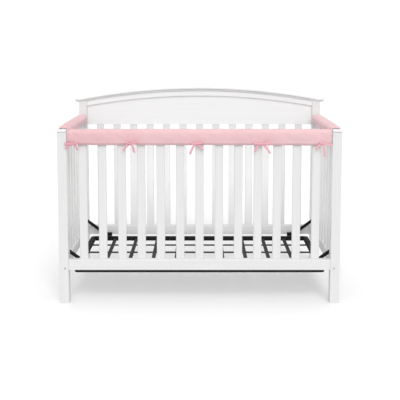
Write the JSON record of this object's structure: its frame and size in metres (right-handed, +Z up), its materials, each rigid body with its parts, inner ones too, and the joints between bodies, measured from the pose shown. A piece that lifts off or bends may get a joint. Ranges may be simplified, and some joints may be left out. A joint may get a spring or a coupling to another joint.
{
  "type": "crib rail cover on a crib",
  "caption": "Padded cloth rail cover, tied with ribbon bows over the front and side rails of a white slatted crib with an arched headboard.",
  "frame": {"origin": "on the floor, under the middle of the crib", "axes": "+X along the crib to the right seen from its front, +Y from the front rail to the headboard, +Z up"},
  "size_m": [1.49, 0.7826, 1.068],
  "materials": {
    "white_paint": "satin white paint",
    "pink_cotton": "soft padded cotton",
    "pink_ribbon": "woven ribbon",
    "black_steel": "black powder coat"
  },
  "bodies": {
    "root": {"back_bottom_rail": "white_paint", "back_slat_01": "white_paint", "back_slat_02": "white_paint", "back_slat_03": "white_paint", "back_slat_04": "white_paint", "back_slat_05": "white_paint", "back_slat_06": "white_paint", "back_slat_07": "white_paint", "back_slat_08": "white_paint", "back_slat_09": "white_paint", "back_slat_10": "white_paint", "back_slat_11": "white_paint", "back_slat_12": "white_paint", "back_slat_13": "white_paint", "cap_front_left": "white_paint", "cap_front_right": "white_paint", "front_bottom_rail": "white_paint", "front_cover": "pink_cotton", "front_cover_bow_1": "pink_ribbon", "front_cover_bow_2": "pink_ribbon", "front_cover_bow_3": "pink_ribbon", "front_cover_bow_4": "pink_ribbon", "front_cover_bow_5": "pink_ribbon", "front_slat_01": "white_paint", "front_slat_02": "white_paint", "front_slat_03": "white_paint", "front_slat_04": "white_paint", "front_slat_05": "white_paint", "front_slat_06": "white_paint", "front_slat_07": "white_paint", "front_slat_08": "white_paint", "front_slat_09": "white_paint", "front_slat_10": "white_paint", "front_slat_11": "white_paint", "front_slat_12": "white_paint", "front_slat_13": "white_paint", "front_top_rail": "white_paint", "hanger_back_left": "black_steel", "hanger_back_right": "black_steel", "hanger_front_left": "black_steel", "hanger_front_right": "black_steel", "headboard_arch": "white_paint", "headboard_crown": "white_paint", "headboard_panel": "white_paint", "mattress_support": "black_steel", "post_back_left": "white_paint", "post_back_right": "white_paint", "post_front_left": "white_paint", "post_front_right": "white_paint", "side_cover_left": "pink_cotton", "side_cover_left_bow_1": "pink_ribbon", "side_cover_left_bow_2": "pink_ribbon", "side_cover_right": "pink_cotton", "side_cover_right_bow_1": "pink_ribbon", "side_cover_right_bow_2": "pink_ribbon", "side_slats_left": "white_paint", "side_slats_right": "white_paint", "side_top_rail_left": "white_paint", "side_top_rail_right": "white_paint"}
  },
  "joints": []
}
